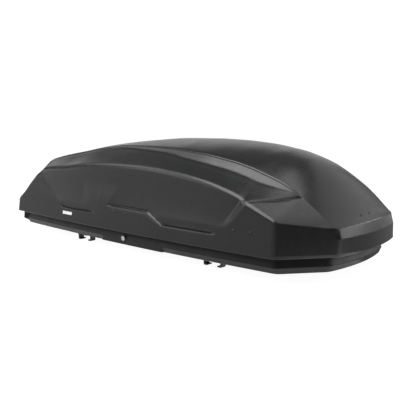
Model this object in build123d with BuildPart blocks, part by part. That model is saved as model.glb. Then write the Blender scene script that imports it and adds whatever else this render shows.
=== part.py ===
from build123d import *
import math
import os

os.makedirs("parts", exist_ok=True)

# Roof cargo box. +X points to the nose, +Y is the hinge side, -Y the lock side, +Z is up.
# The origin is on the ground under the middle of the box, which stands on its clamp jaws.

# ---------------------------------------------------------------- driving dimensions (mm)
HALF_LENGTH = 945.6
MAX_HALF_WIDTH = 420.0
WIDEST_X = 417.0
SIDE_BOW = 0.0941e-6
WALL = 4.5
FIT = 0.05  # radial play of a running fit

# heights of the lid's rim, the tub's underside, its crease and its flange
RIM_Z = 100.0
BASE_Z = 33.0
CREASE_Z = 57.0
FLANGE_Z = 104.0
FLANGE_THICK = 3.0
BASE_WALL = 4.0
# how far the tub lies inside the rim line at those heights
FOOT_INSET = 53.0
CREASE_INSET = 43.0
TOP_INSET = 58.0
FLANGE_INSET = 18.0
# the stretch of the near side where the tub is upright, to carry the lock
BULGE_FROM_X = -215.0
BULGE_TO_X = 190.0
BULGE_SPANS = 4

HINGE_Y = 375.0
HINGE_Z = 91.0
HINGE_X = (-400.0, 50.0, 500.0)
CATCH_X = (-688.0, -42.0, 619.0)
RIVET_SPACING = 75.0
RIVET_Z = 180.0
RIVET_R = 2.5
RIVET_HEAD_R = 6.5
RIVET_HEAD_THICK = 2.2
LEAF_INSET = 17.7  # inner face of the lid's wall at the rivets, from the rim line
LEAF_TOP_Z = 195.0

LOCK_X = -56.0
LOCK_Z = 61.0
LOCK_R = 10.0
LOCK_BODY_R = 14.0
CAM_R = 12.7
CAM_REST_DEG = 45.0
LATCH_TRAVEL = 18.0

NOSE_RIVET_PLANE = Plane(origin=(902, 0, 226), x_dir=(1, 0, -1), z_dir=(1, 0, 1))
NOSE_RIVET_Y = 34.0

CLAMP_X = {"front": 405.0, "rear": -390.0}
CLAMP_Y = {"left": 300.0, "right": -300.0}
JAW_GAP = 80.0
JAW_THICK = 6.0
JAW_TRAVEL = 12.0
PINION_R = 7.64
TEETH = 16

STAY_X = {"front": 630.0, "rear": -590.0}
STAY_ARM = 480.0
STAY_FOOT_DEG = -4.5
STAY_HEAD_DEG = 37.5
ROOF_AT_STAY = {"front": 424.0, "rear": 407.5}


def half_width(x):
    """Half width of the lid's rim along the long sides."""
    return MAX_HALF_WIDTH * (1 - SIDE_BOW * (x - WIDEST_X) ** 2)


def side_slope(x):
    """How fast the half width grows with x."""
    return -2 * MAX_HALF_WIDTH * SIDE_BOW * (x - WIDEST_X)


def wall_plane(x, side):
    """Section plane across the side wall: sketch X runs inwards from the rim, sketch Y up."""
    inward = Vector(side_slope(x), -side, 0)
    return Plane(origin=(x, side * half_width(x), 0), x_dir=inward, z_dir=inward.cross(Vector(0, 0, 1)))


def rivet_planes(section):
    """The two planes of a rivet pair on the rim line, each looking inwards along its rivet."""
    places = [section.origin + section.z_dir * along for along in (-RIVET_SPACING / 2, RIVET_SPACING / 2)]
    return [Plane(place + Vector(0, 0, RIVET_Z), x_dir=section.z_dir, z_dir=section.x_dir) for place in places]


def save(piece, name):
    """Label a finished piece and write its STEP file."""
    piece.part.label = name
    export_step(piece.part, f"parts/{name}.step")


# ---------------------------------------------------------------- lid
# Each section runs up one half of the lid, as (y, height above the rim):
# rim foot, rim top, shoulder edge, gutter, roof edge, mid roof, ridge.
LID_SECTIONS = [
    (-HALF_LENGTH, [(90, 0), (89, 55), (80, 59), (62, 61), (45, 62.5), (20, 63.5), (0, 64)]),
    (-930.0, [(300, 0), (299, 57), (288, 64), (242, 71), (200, 76), (100, 81), (0, 82)]),
    (-885.6, [(353, 0), (349, 60), (337, 72), (292, 96), (250, 112), (125, 124), (0, 128)]),
    (-770.0, [(half_width(-770), 0), (357, 60), (346, 157), (302, 190), (258, 222), (130, 244), (0, 251)]),
    (-715.0, [(half_width(-715), 0), (362, 60), (344, 202), (302, 228), (260, 262), (130, 282), (0, 289)]),
    (-670.0, [(half_width(-670), 0), (366, 60), (343, 237), (304, 248), (260, 276), (130, 295), (0, 302)]),
    (-470.0, [(half_width(-470), 0), (382, 60), (358, 251), (312, 260), (262, 315), (130, 334), (0, 341)]),
    (-250.0, [(half_width(-250), 0), (395, 60), (369, 274), (318, 278), (262, 350), (130, 365), (0, 371)]),
    (30.0, [(half_width(30), 0), (407, 60), (380, 282), (326, 284), (262, 359), (130, 381), (0, 388)]),
    (280.0, [(half_width(280), 0), (411, 60), (387, 267), (330, 268), (262, 343), (130, 379), (0, 389)]),
    (480.0, [(half_width(480), 0), (412, 60), (392, 232), (331, 236), (262, 312), (130, 360), (0, 373)]),
    (615.0, [(half_width(615), 0), (411, 60), (397, 187), (331, 206), (262, 271), (130, 327), (0, 346)]),
    (700.0, [(half_width(700), 0), (409, 60), (399, 152), (331, 184), (262, 243), (130, 297), (0, 315)]),
    (764.0, [(half_width(764), 0), (408, 60), (401, 125), (331, 166), (262, 208), (130, 251), (0, 266)]),
    (830.0, [(338, 0), (333, 60), (327, 112), (290, 136), (252, 160), (125, 188), (0, 198)]),
    (917.0, [(237, 0), (237, 62), (215, 84), (196, 98), (150, 103), (75, 108), (0, 110)]),
    (935.0, [(144, 0), (144, 62), (125, 76), (105, 88), (75, 98), (38, 103), (0, 105)]),
    (HALF_LENGTH, [(25, 0), (24.8, 62), (21, 64), (17, 65.5), (12, 66.5), (6, 67.2), (0, 67.5)]),
]
# How far each section point moves in to give the lid's inner face.
INNER_SHIFT = [(-WALL, -WALL), (-WALL, -WALL), (-WALL, -1.2 * WALL), (-0.7 * WALL, -1.1 * WALL),
               (-0.7 * WALL, -WALL), (0, -WALL), (0, -WALL)]
NO_SHIFT = [(0, 0)] * len(INNER_SHIFT)
SKINS = ((1, NO_SHIFT, Mode.ADD), (1 - WALL / HALF_LENGTH, INNER_SHIFT, Mode.SUBTRACT))

half_outline = [(x, points[0][0]) for x, points in LID_SECTIONS]
rim_outline = half_outline + [(x, -y) for x, y in reversed(half_outline)]
catch_sections = [wall_plane(x, -1) for x in CATCH_X]
hinge_sections = [wall_plane(x, 1) for x in HINGE_X]
side_rivet_planes = [plane for section in catch_sections + hinge_sections for plane in rivet_planes(section)]


def lid_ring(points, shift):
    """A closed lid section, both halves, at its height above the ground."""
    half = [(y + dy, RIM_Z + z + dz) for (y, z), (dy, dz) in zip(points, shift)]
    return half + [(-y, z) for y, z in reversed(half[:-1])]


with BuildPart() as lid_shell:
    for shrink, shift, mode in SKINS:
        for span in zip(LID_SECTIONS, LID_SECTIONS[1:]):
            for x, points in span:
                with BuildSketch(Plane.YZ.offset(x * shrink)):
                    with BuildLine():
                        Polyline(*lid_ring(points, shift), close=True)
                    make_face()
            loft(ruled=True, mode=mode)
    for plane in side_rivet_planes:
        with BuildSketch(plane):
            Circle(RIVET_R)
        extrude(amount=WALL * 6, mode=Mode.SUBTRACT)
    with BuildSketch(NOSE_RIVET_PLANE):
        with Locations((0, -NOSE_RIVET_Y), (0, NOSE_RIVET_Y)):
            Circle(RIVET_R)
    extrude(amount=WALL * 4, both=True, mode=Mode.SUBTRACT)
save(lid_shell, "lid_shell")

# ---------------------------------------------------------------- base tub
JAW_SLOT_X = JAW_THICK + JAW_TRAVEL + 1.4
JAW_SLOT_Y = 29.4
LOCK_HOLE_DEPTH = 24.0


def rim_ring(inset):
    """The lid's rim outline moved inwards, as a filled sketch."""
    with BuildSketch() as ring:
        with BuildLine():
            Polyline(*rim_outline, close=True)
        make_face()
        offset(amount=-inset, kind=Kind.INTERSECTION)
    return ring.sketch


base_levels = ((BASE_Z, FOOT_INSET), (CREASE_Z, CREASE_INSET), (FLANGE_Z, TOP_INSET))
outer_rings = [(z, rim_ring(inset)) for z, inset in base_levels]
inner_rings = [(z + (BASE_WALL if z == BASE_Z else 0), rim_ring(inset + BASE_WALL)) for z, inset in base_levels]
flange_ring = rim_ring(FLANGE_INSET)

bulge_step = (BULGE_TO_X - BULGE_FROM_X) / BULGE_SPANS
bulge_x = [BULGE_FROM_X + bulge_step * step for step in range(BULGE_SPANS + 1)]
bulge_outer = [(x, -(half_width(x) - CREASE_INSET)) for x in bulge_x]
bulge_inner = [(x, -(half_width(x) - FOOT_INSET - BASE_WALL / 2)) for x in reversed(bulge_x)]
lock_y = -(half_width(LOCK_X) - CREASE_INSET)

jaw_slots = [
    (x + side * (JAW_GAP / 2 + (JAW_THICK + JAW_TRAVEL) / 2), y)
    for x in CLAMP_X.values()
    for y in CLAMP_Y.values()
    for side in (-1, 1)
]

with BuildPart() as base_shell:
    for z, ring in outer_rings:
        with BuildSketch(Plane.XY.offset(z)):
            add(ring)
    loft(ruled=True)
    with BuildSketch(Plane.XY.offset(BASE_Z)):
        with BuildLine():
            Polyline(*bulge_outer, *bulge_inner, close=True)
        make_face()
    extrude(amount=CREASE_Z - BASE_Z)
    for z, ring in inner_rings:
        with BuildSketch(Plane.XY.offset(z)):
            add(ring)
    loft(ruled=True, mode=Mode.SUBTRACT)
    with BuildSketch(Plane.XY.offset(FLANGE_Z)):
        add(flange_ring)
        add(inner_rings[-1][1], mode=Mode.SUBTRACT)
    extrude(amount=FLANGE_THICK)
    with BuildSketch(Plane.XY.offset(BASE_Z)):
        with Locations(*jaw_slots):
            Rectangle(JAW_SLOT_X, JAW_SLOT_Y)
    extrude(amount=BASE_WALL, mode=Mode.SUBTRACT)
    with BuildSketch(Plane.XZ.offset(-lock_y - LOCK_HOLE_DEPTH)):
        with Locations((LOCK_X, LOCK_Z)):
            Circle(LOCK_BODY_R)
    extrude(amount=2 * LOCK_HOLE_DEPTH, mode=Mode.SUBTRACT)
save(base_shell, "base_shell")

# Rubber seal: an L-shaped strip round the edge of the tub's flange.
SEAL_INSET = 13.5
SEAL_LAP = 6.0
SEAL_THICK = 2.0
seal_ring = rim_ring(SEAL_INSET)
lap_outer_ring = rim_ring(FLANGE_INSET - 0.5)
lap_inner_ring = rim_ring(FLANGE_INSET + SEAL_LAP)
with BuildPart() as rim_seal:
    with BuildSketch(Plane.XY.offset(FLANGE_Z)):
        add(seal_ring)
        add(flange_ring, mode=Mode.SUBTRACT)
    extrude(amount=FLANGE_THICK + SEAL_THICK)
    with BuildSketch(Plane.XY.offset(FLANGE_Z + FLANGE_THICK)):
        add(lap_outer_ring)
        add(lap_inner_ring, mode=Mode.SUBTRACT)
    extrude(amount=SEAL_THICK)
save(rim_seal, "rim_seal")

# ---------------------------------------------------------------- floor rails
RAIL_THICK = 2.0
RAIL_Z = BASE_Z + BASE_WALL
RAIL_WIDTH = 44.0
RAIL_CORNER_R = 6.0
RAIL_FROM_X = -540.0
RAIL_TO_X = 560.0
for side, rail_y in CLAMP_Y.items():
    with BuildPart() as floor_rail:
        with BuildSketch(Plane.XY.offset(RAIL_Z)):
            with Locations(((RAIL_FROM_X + RAIL_TO_X) / 2, rail_y)):
                RectangleRounded(RAIL_TO_X - RAIL_FROM_X, RAIL_WIDTH, RAIL_CORNER_R)
            with Locations(*[place for place in jaw_slots if place[1] == rail_y]):
                Rectangle(JAW_SLOT_X, JAW_SLOT_Y, mode=Mode.SUBTRACT)
        extrude(amount=RAIL_THICK)
    save(floor_rail, f"floor_rail_{side}")

# ---------------------------------------------------------------- crossbar clamps
HOUSING_Z = RAIL_Z + RAIL_THICK
HOUSING_TOP = 78.0
HOUSING_X = 124.0
HOUSING_Y = 56.0
HOUSING_CORNER_R = 14.0
HOUSING_INNER_R = 6.0
HOUSING_EDGE_R = 5.0
HOUSING_WALL = 3.0

SPINDLE_R = 6.0
KNOB_Z = HOUSING_TOP + 0.6
KNOB_HEIGHT = 20.0
KNOB_R = 27.0
KNOB_LOBES = 6
KNOB_SCOOP_R = 10.0
KNOB_SCOOP_AT = KNOB_R + 6.0
KNOB_EDGE_R = 2.5

RACK_Z = 46.0
RACK_HEIGHT = 6.0
RACK_BACK = 11.7  # the rack's middle line, from the pinion's axis
RACK_FACE = PINION_R + 1.76
RACK_TOOTH_DEPTH = 1.8
RACK_TEETH = 8
RACK_REACH = 18.0
TOOTH_PITCH = 2 * math.pi * PINION_R / TEETH
TOOTH_WIDTH = 1.0
PINION_ROOT_R = PINION_R - 0.74
PINION_TOOTH_AT = PINION_R - 0.34
PINION_TOOTH_DEPTH = 2.0

LEG_WIDTH = 28.0
LEG_X = JAW_GAP / 2
HOOK_TIP = 24.0
HOOK_THICK = 5.0
HOOK_CORNER = 3.0

PAD_BOTTOM = 27.0
PAD_X = 70.0
PAD_Y = 60.0
PAD_CORNER_R = 8.0
PAD_GROOVES = 5
PAD_GROOVE_SPACING = 12.0
PAD_GROOVE_WIDTH = 3.0
PAD_GROOVE_DEPTH = 1.2

for end, clamp_x in CLAMP_X.items():
    for side, clamp_y in CLAMP_Y.items():
        with BuildPart() as clamp_housing:
            with BuildSketch(Plane.XY.offset(HOUSING_Z)):
                with Locations((clamp_x, clamp_y)):
                    RectangleRounded(HOUSING_X, HOUSING_Y, HOUSING_CORNER_R)
            extrude(amount=HOUSING_TOP - HOUSING_Z)
            fillet(clamp_housing.faces().sort_by(Axis.Z)[-1].edges(), radius=HOUSING_EDGE_R)
            with BuildSketch(Plane.XY.offset(HOUSING_Z)):
                with Locations((clamp_x, clamp_y)):
                    RectangleRounded(
                        HOUSING_X - 2 * HOUSING_WALL, HOUSING_Y - 2 * HOUSING_WALL, HOUSING_INNER_R
                    )
            extrude(amount=HOUSING_TOP - HOUSING_Z - HOUSING_WALL, mode=Mode.SUBTRACT)
            with BuildSketch(Plane.XY.offset(HOUSING_TOP - HOUSING_WALL)):
                with Locations((clamp_x, clamp_y)):
                    Circle(SPINDLE_R + FIT)
            extrude(amount=HOUSING_WALL, mode=Mode.SUBTRACT)
        save(clamp_housing, f"clamp_housing_{end}_{side}")

        with BuildPart() as clamp_knob:
            with BuildSketch(Plane.XY.offset(KNOB_Z)):
                with Locations((clamp_x, clamp_y)):
                    Circle(KNOB_R)
                    with PolarLocations(KNOB_SCOOP_AT, KNOB_LOBES):
                        Circle(KNOB_SCOOP_R, mode=Mode.SUBTRACT)
            extrude(amount=KNOB_HEIGHT)
            fillet(clamp_knob.faces().sort_by(Axis.Z)[-1].edges(), radius=KNOB_EDGE_R)
        save(clamp_knob, f"clamp_knob_{end}_{side}")

        # The pinion hangs on a spindle, which starts a little under its teeth.
        with BuildPart() as clamp_pinion:
            with BuildSketch(Plane.XY.offset(RACK_Z - RACK_HEIGHT / 2)):
                with Locations((clamp_x, clamp_y)):
                    Circle(SPINDLE_R)
            extrude(amount=KNOB_Z - (RACK_Z - RACK_HEIGHT / 2))
            with BuildSketch(Plane.XY.offset(RACK_Z)):
                with Locations((clamp_x, clamp_y)):
                    Circle(PINION_ROOT_R)
                    with PolarLocations(PINION_TOOTH_AT, TEETH):
                        Rectangle(PINION_TOOTH_DEPTH, TOOTH_WIDTH)
            extrude(amount=RACK_HEIGHT)
        save(clamp_pinion, f"clamp_pinion_{end}_{side}")

        # Each jaw is a leg through the floor, a hook below it and a rack beside the pinion.
        for way, outward in (("front", 1), ("rear", -1)):
            leg_outside = LEG_X + JAW_THICK
            jaw_profile = [
                (HOOK_TIP, 2),
                (HOOK_TIP + 4, 0),
                (leg_outside - HOOK_CORNER, 0),
                (leg_outside, HOOK_CORNER + 1),
                (leg_outside, RACK_Z + RACK_HEIGHT),
                (LEG_X, RACK_Z + RACK_HEIGHT),
                (LEG_X, HOOK_THICK + HOOK_CORNER),
                (LEG_X - HOOK_CORNER, HOOK_THICK + 1),
                (HOOK_TIP, HOOK_THICK),
            ]
            rack_x = clamp_x + outward * (LEG_X - RACK_REACH) / 2
            rack_y = clamp_y - outward * RACK_BACK
            tooth_y = clamp_y - outward * (RACK_FACE - RACK_TOOTH_DEPTH / 2)
            tooth_x = [clamp_x - outward * TOOTH_PITCH * (step - 1.5) for step in range(RACK_TEETH)]
            with BuildPart() as clamp_jaw:
                with BuildSketch(Plane.XZ.offset(-clamp_y - LEG_WIDTH / 2)):
                    with BuildLine():
                        Polyline(*[(clamp_x + outward * x, z) for x, z in jaw_profile], close=True)
                    make_face()
                extrude(amount=LEG_WIDTH)
                with BuildSketch(Plane.XY.offset(RACK_Z)):
                    with Locations((rack_x, rack_y)):
                        Rectangle(LEG_X + RACK_REACH, 2 * (RACK_BACK - RACK_FACE))
                    with Locations(*[(x, tooth_y) for x in tooth_x]):
                        Rectangle(TOOTH_WIDTH, RACK_TOOTH_DEPTH + 0.2)
                extrude(amount=RACK_HEIGHT)
            save(clamp_jaw, f"clamp_jaw_{way}_{end}_{side}")

        with BuildPart() as crossbar_pad:
            with BuildSketch(Plane.XY.offset(PAD_BOTTOM)):
                with Locations((clamp_x, clamp_y)):
                    RectangleRounded(PAD_X, PAD_Y, PAD_CORNER_R)
            extrude(amount=BASE_Z - PAD_BOTTOM)
            with BuildSketch(Plane.XY.offset(PAD_BOTTOM)):
                with Locations((clamp_x, clamp_y)):
                    with GridLocations(PAD_GROOVE_SPACING, 0, PAD_GROOVES, 1):
                        Rectangle(PAD_GROOVE_WIDTH, PAD_Y)
            extrude(amount=PAD_GROOVE_DEPTH, mode=Mode.SUBTRACT)
        save(crossbar_pad, f"crossbar_pad_{end}_{side}")

# ---------------------------------------------------------------- hinges along the +Y side
KNUCKLE_R = 5.0
HINGE_PIN_R = 2.5
KNUCKLE_HALF = 9.5
KNUCKLE_GAP = 1.0
HINGE_HALF = 30.0
LEAF_THICK = 2.5
LEAF_FOOT_INSET = 8.6
LEAF_FOOT_Z = HINGE_Z - KNUCKLE_R
LEAF_BEND_Z = 118.0
LEAF_FLAT_Z = 165.0
LEAF_FLAT_HEIGHT = 30.0
LEAF_END = 10.0  # how far a riveted plate runs past its rivets
BASE_LEAF_THICK = 3.0
BASE_LEAF_Z = FLANGE_Z - BASE_LEAF_THICK
BASE_LEAF_Y = HINGE_Y - 2.5
BASE_LEAF_WIDTH = 13.0
KNUCKLE_WEB = 3.0

for number, (hinge_x, section) in enumerate(zip(HINGE_X, hinge_sections), start=1):
    leg_length = half_width(hinge_x) - HINGE_Y - LEAF_FOOT_INSET - 0.4
    with BuildPart() as hinge_lid_leaf:
        with BuildSketch(section):
            with BuildLine():
                Polyline(
                    (LEAF_FOOT_INSET, LEAF_FOOT_Z),
                    (LEAF_FOOT_INSET, LEAF_BEND_Z),
                    (LEAF_INSET, LEAF_FLAT_Z),
                    (LEAF_INSET, LEAF_TOP_Z),
                    (LEAF_INSET + LEAF_THICK, LEAF_TOP_Z),
                    (LEAF_INSET + LEAF_THICK, LEAF_FLAT_Z - 1),
                    (LEAF_FOOT_INSET + LEAF_THICK, LEAF_BEND_Z - 1),
                    (LEAF_FOOT_INSET + LEAF_THICK, LEAF_FOOT_Z),
                    close=True,
                )
            make_face()
        extrude(amount=HINGE_HALF, both=True)
        with BuildSketch(section):
            with Locations((LEAF_INSET + LEAF_THICK / 2, LEAF_TOP_Z - LEAF_FLAT_HEIGHT / 2)):
                Rectangle(LEAF_THICK, LEAF_FLAT_HEIGHT)
        extrude(amount=RIVET_SPACING / 2 + LEAF_END, both=True)
        with BuildSketch(Plane.YZ.offset(hinge_x - KNUCKLE_HALF)):
            with Locations((HINGE_Y, HINGE_Z)):
                Circle(KNUCKLE_R)
            with Locations((HINGE_Y + leg_length / 2, LEAF_FOOT_Z + LEAF_THICK / 2)):
                Rectangle(leg_length, LEAF_THICK)
        extrude(amount=2 * KNUCKLE_HALF)
        with BuildSketch(Plane.YZ.offset(hinge_x - KNUCKLE_HALF)):
            with Locations((HINGE_Y, HINGE_Z)):
                Circle(HINGE_PIN_R + FIT)
        extrude(amount=2 * KNUCKLE_HALF, mode=Mode.SUBTRACT)
        for plane in rivet_planes(section):
            with BuildSketch(plane):
                Circle(RIVET_R)
            extrude(amount=LEAF_INSET + 2 * LEAF_THICK, mode=Mode.SUBTRACT)
    save(hinge_lid_leaf, f"hinge_lid_leaf_{number}")

    with BuildPart() as hinge_base_leaf:
        with BuildSketch(Plane.XY.offset(BASE_LEAF_Z)):
            with Locations((hinge_x, BASE_LEAF_Y)):
                Rectangle(2 * HINGE_HALF, BASE_LEAF_WIDTH)
        extrude(amount=BASE_LEAF_THICK)
        for knuckle_x in (hinge_x - HINGE_HALF, hinge_x + KNUCKLE_HALF + KNUCKLE_GAP):
            with BuildSketch(Plane.YZ.offset(knuckle_x)):
                with Locations((HINGE_Y, HINGE_Z)):
                    Circle(KNUCKLE_R)
                with Locations((HINGE_Y, (HINGE_Z + BASE_LEAF_Z) / 2)):
                    Rectangle(KNUCKLE_WEB, BASE_LEAF_Z - HINGE_Z)
            extrude(amount=HINGE_HALF - KNUCKLE_HALF - KNUCKLE_GAP)
        with BuildSketch(Plane.YZ.offset(hinge_x - HINGE_HALF)):
            with Locations((HINGE_Y, HINGE_Z)):
                Circle(HINGE_PIN_R)
        extrude(amount=2 * HINGE_HALF, mode=Mode.SUBTRACT)
    save(hinge_base_leaf, f"hinge_base_leaf_{number}")

with BuildPart() as hinge_pins:
    for hinge_x in HINGE_X:
        with BuildSketch(Plane.YZ.offset(hinge_x - HINGE_HALF - 1)):
            with Locations((HINGE_Y, HINGE_Z)):
                Circle(HINGE_PIN_R)
        extrude(amount=2 * HINGE_HALF + 2)
save(hinge_pins, "hinge_pins")

# ---------------------------------------------------------------- telescopic lid stays
# Foot and head pins are equally far from the hinge axis, so a stay turns half as far as the lid.
TUBE_R = 11.0
TUBE_BORE_R = 8.5
TUBE_FROM = 12.0
TUBE_TO = 314.0
TUBE_FLOOR = 8.0
TUBE_NECK = 6.0
TUBE_EYE_R = 9.0
TUBE_EYE_NECK = 14.0
ROD_R = 5.0
PISTON_FROM = 24.0
PISTON_LENGTH = 10.0
ROD_TO_PIN = 12.0
EYE_LENGTH = 32.0
EYE_WIDTH = 18.0
EYE_CORNER_R = 6.0
EYE_THICK = 5.0
EYE_SHIFT = 3.0
SLOT_TRAVEL = 7.4
SLOT_START = -0.2
SLOT_PLAY = 0.3
STAY_PIN_R = 4.0
EAR_THICK = 3.0
FOOT_GAP = 12.0
FOOT_EAR_R = 10.0
FOOT_PLATE_X = 60.0
FOOT_PLATE_Y = 40.0
FOOT_PIN_OUT = 2.0
HEAD_GAP = 7.0
HEAD_EAR_R = 9.0
HEAD_PLATE_X = 30.0
HEAD_PLATE_Y = 60.0
HEAD_PLATE_THICK = 2.5
HEAD_PIN_OUT = 1.5
BRACKET_CORNER_R = 5.0


def arm_point(degrees):
    """The point on the stays' circle round the hinge axis, at an angle above level."""
    angle = math.radians(degrees)
    return Vector(0, HINGE_Y - STAY_ARM * math.cos(angle), HINGE_Z + STAY_ARM * math.sin(angle))


foot = arm_point(STAY_FOOT_DEG)
head = arm_point(STAY_HEAD_DEG)
stay_way = (head - foot).normalized()
stay_length = (head - foot).length

for end, stay_x in STAY_X.items():
    along = Plane(origin=foot + Vector(stay_x, 0, 0), x_dir=(1, 0, 0), z_dir=stay_way)
    side_on = Plane(origin=foot + Vector(stay_x, 0, 0), x_dir=stay_way, z_dir=Vector(-1, 0, 0))

    with BuildPart() as stay_foot:
        with BuildSketch(Plane.XY.offset(RAIL_Z)):
            with Locations((stay_x, foot.Y)):
                RectangleRounded(FOOT_PLATE_X, FOOT_PLATE_Y, BRACKET_CORNER_R)
        extrude(amount=EAR_THICK)
        for ear_x in (stay_x - FOOT_GAP / 2 - EAR_THICK, stay_x + FOOT_GAP / 2):
            with BuildSketch(Plane.YZ.offset(ear_x)):
                with Locations((foot.Y, (RAIL_Z + foot.Z) / 2)):
                    Rectangle(2 * FOOT_EAR_R, foot.Z - RAIL_Z)
                with Locations((foot.Y, foot.Z)):
                    Circle(FOOT_EAR_R)
            extrude(amount=EAR_THICK)
        foot_pin_half = FOOT_GAP / 2 + EAR_THICK + FOOT_PIN_OUT
        with BuildSketch(Plane.YZ.offset(stay_x - foot_pin_half)):
            with Locations((foot.Y, foot.Z)):
                Circle(STAY_PIN_R)
        extrude(amount=2 * foot_pin_half)
    save(stay_foot, f"stay_foot_{end}")

    with BuildPart() as stay_tube:
        with BuildSketch(along.offset(TUBE_FROM)):
            Circle(TUBE_R)
        extrude(amount=TUBE_TO - TUBE_FROM)
        with BuildSketch(side_on.offset(-FOOT_GAP / 2 + 0.5)):
            Circle(TUBE_EYE_R)
            with Locations((TUBE_FROM / 2 + 2, 0)):
                Rectangle(TUBE_FROM + 4, TUBE_EYE_NECK)
        extrude(amount=FOOT_GAP - 1)
        with BuildSketch(side_on.offset(-FOOT_GAP / 2)):
            Circle(STAY_PIN_R + FIT)
        extrude(amount=FOOT_GAP, mode=Mode.SUBTRACT)
        with BuildSketch(along.offset(TUBE_FROM + TUBE_FLOOR)):
            Circle(TUBE_BORE_R)
        extrude(amount=TUBE_TO - TUBE_FROM - TUBE_FLOOR - TUBE_NECK, mode=Mode.SUBTRACT)
        with BuildSketch(along.offset(TUBE_TO - TUBE_NECK)):
            Circle(ROD_R + FIT)
        extrude(amount=TUBE_NECK, mode=Mode.SUBTRACT)
    save(stay_tube, f"stay_tube_{end}")

    # The rod's eye is a slot, so the lid's pin has lost motion in it.
    with BuildPart() as stay_rod:
        with BuildSketch(along.offset(PISTON_FROM)):
            Circle(TUBE_BORE_R - FIT)
        extrude(amount=PISTON_LENGTH)
        with BuildSketch(along.offset(PISTON_FROM + PISTON_LENGTH)):
            Circle(ROD_R)
        extrude(amount=stay_length - ROD_TO_PIN - PISTON_FROM - PISTON_LENGTH)
        with BuildSketch(side_on.offset(-EYE_THICK / 2)):
            with Locations((stay_length + EYE_SHIFT, 0)):
                RectangleRounded(EYE_LENGTH, EYE_WIDTH, EYE_CORNER_R)
            with Locations((stay_length + SLOT_TRAVEL / 2 + SLOT_START, 0)):
                Rectangle(SLOT_TRAVEL, 2 * (STAY_PIN_R + SLOT_PLAY), mode=Mode.SUBTRACT)
            with Locations((stay_length + SLOT_START, 0), (stay_length + SLOT_START + SLOT_TRAVEL, 0)):
                Circle(STAY_PIN_R + SLOT_PLAY, mode=Mode.SUBTRACT)
        extrude(amount=EYE_THICK)
    save(stay_rod, f"stay_rod_{end}")

    roof_z = ROOF_AT_STAY[end]
    with BuildPart() as stay_head:
        with BuildSketch(Plane.XY.offset(roof_z - HEAD_PLATE_THICK)):
            with Locations((stay_x, head.Y)):
                RectangleRounded(HEAD_PLATE_X, HEAD_PLATE_Y, BRACKET_CORNER_R)
        extrude(amount=HEAD_PLATE_THICK)
        for ear_x in (stay_x - HEAD_GAP / 2 - EAR_THICK, stay_x + HEAD_GAP / 2):
            with BuildSketch(Plane.YZ.offset(ear_x)):
                with Locations((head.Y, (roof_z + head.Z) / 2)):
                    Rectangle(2 * HEAD_EAR_R, roof_z - head.Z)
                with Locations((head.Y, head.Z)):
                    Circle(HEAD_EAR_R)
            extrude(amount=EAR_THICK)
        head_pin_half = HEAD_GAP / 2 + EAR_THICK + HEAD_PIN_OUT
        with BuildSketch(Plane.YZ.offset(stay_x - head_pin_half)):
            with Locations((head.Y, head.Z)):
                Circle(STAY_PIN_R)
        extrude(amount=2 * head_pin_half)
    save(stay_head, f"stay_head_{end}")

# ---------------------------------------------------------------- latch bar, guides and catches
BAR_INSET = 35.0
BAR_THICK = 4.0
BAR_Z = 110.0
BAR_HEIGHT = 18.0
BAR_LENGTH = 1400.0
TONGUE_OUT = 7.0
TONGUE_LENGTH = 16.0
TONGUE_SHIFT = -22.0
TONGUE_Z = BAR_Z + 9.0
TAB_THICK = 3.0
LUG_FACE_Y = -332.0
LUG_THICK = 4.0
LUG_WIDTH = 24.0
LUG_SLOT_X = 6.2
LUG_SLOT_Z = 12.0
GUIDE_X = (-590.0, -290.0, 160.0, 520.0)
GUIDE_LENGTH = 20.0
GUIDE_WIDTH = 12.0
GUIDE_HEIGHT = 25.0
GUIDE_PLAY = 0.4
CATCH_HALF = 12.0
CATCH_THICK = 3.0
CATCH_PLATE_Z = 150.0
CATCH_NECK_INSET = 21.0
CATCH_NECK_Z = 132.0
CATCH_LIP_Z = 115.0
CATCH_LIP_GAP = 2.0

rear_catch_y = -(half_width(CATCH_X[0]) - BAR_INSET)
front_catch_y = -(half_width(CATCH_X[-1]) - BAR_INSET)
bar_slope = (front_catch_y - rear_catch_y) / (CATCH_X[-1] - CATCH_X[0])
bar_way = Vector(1, bar_slope, 0).normalized()
bar_middle = (CATCH_X[0] + CATCH_X[-1]) / 2


def bar_y(x):
    """Where the latch bar's middle line is at x."""
    return rear_catch_y + bar_slope * (x - CATCH_X[0])


def bar_plane(x, z):
    """A level plane on the latch bar, with its sketch X along the bar."""
    return Plane(origin=(x, bar_y(x), z), x_dir=bar_way, z_dir=(0, 0, 1))


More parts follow.
